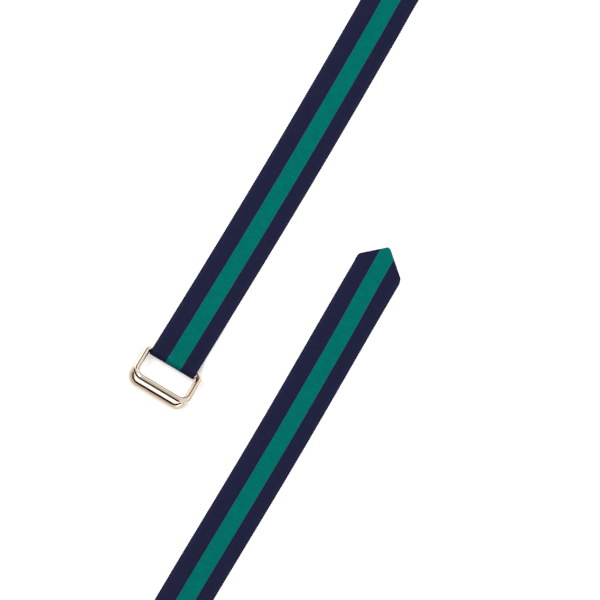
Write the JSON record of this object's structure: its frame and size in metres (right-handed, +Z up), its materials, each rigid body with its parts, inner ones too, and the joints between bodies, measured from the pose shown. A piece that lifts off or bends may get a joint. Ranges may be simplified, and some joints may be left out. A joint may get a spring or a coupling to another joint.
{
  "type": "grosgrain ribbon d-ring belt",
  "caption": "Striped grosgrain ribbon belt with D-rings in a sewn fold at one end and a pointed tip at the other, ends laid flat and the length between looped on edge.",
  "frame": {"origin": "on the surface that the belt lies on, under the middle of the whole laid-out belt", "axes": "+Y from the D-rings along the flat buckle stretch, +X to its right, +Z up"},
  "size_m": [0.3238, 0.5634, 0.03],
  "materials": {
    "striped_grosgrain": "matt corded weave across the strap, navy with one green band down the middle",
    "pale_gold_plate": "polished pale gold plate on steel wire"
  },
  "bodies": {
    "strap": {"ribbon_strap": "striped_grosgrain"},
    "upper_ring": {"upper_d_ring": "pale_gold_plate"},
    "lower_ring": {"lower_d_ring": "pale_gold_plate"}
  },
  "joints": [
    {"name": "upper_ring_swing", "type": "hinge", "parent": "strap", "child": "upper_ring", "pos_m": [-0.14149, -0.08059, 0.00725], "axis": [-1, 0, 0], "range_deg": [-44, 145]},
    {"name": "lower_ring_swing", "type": "hinge", "parent": "strap", "child": "lower_ring", "pos_m": [-0.14149, -0.08059, 0.00325], "axis": [-1, 0, 0], "range_deg": [-163, 0]}
  ]
}
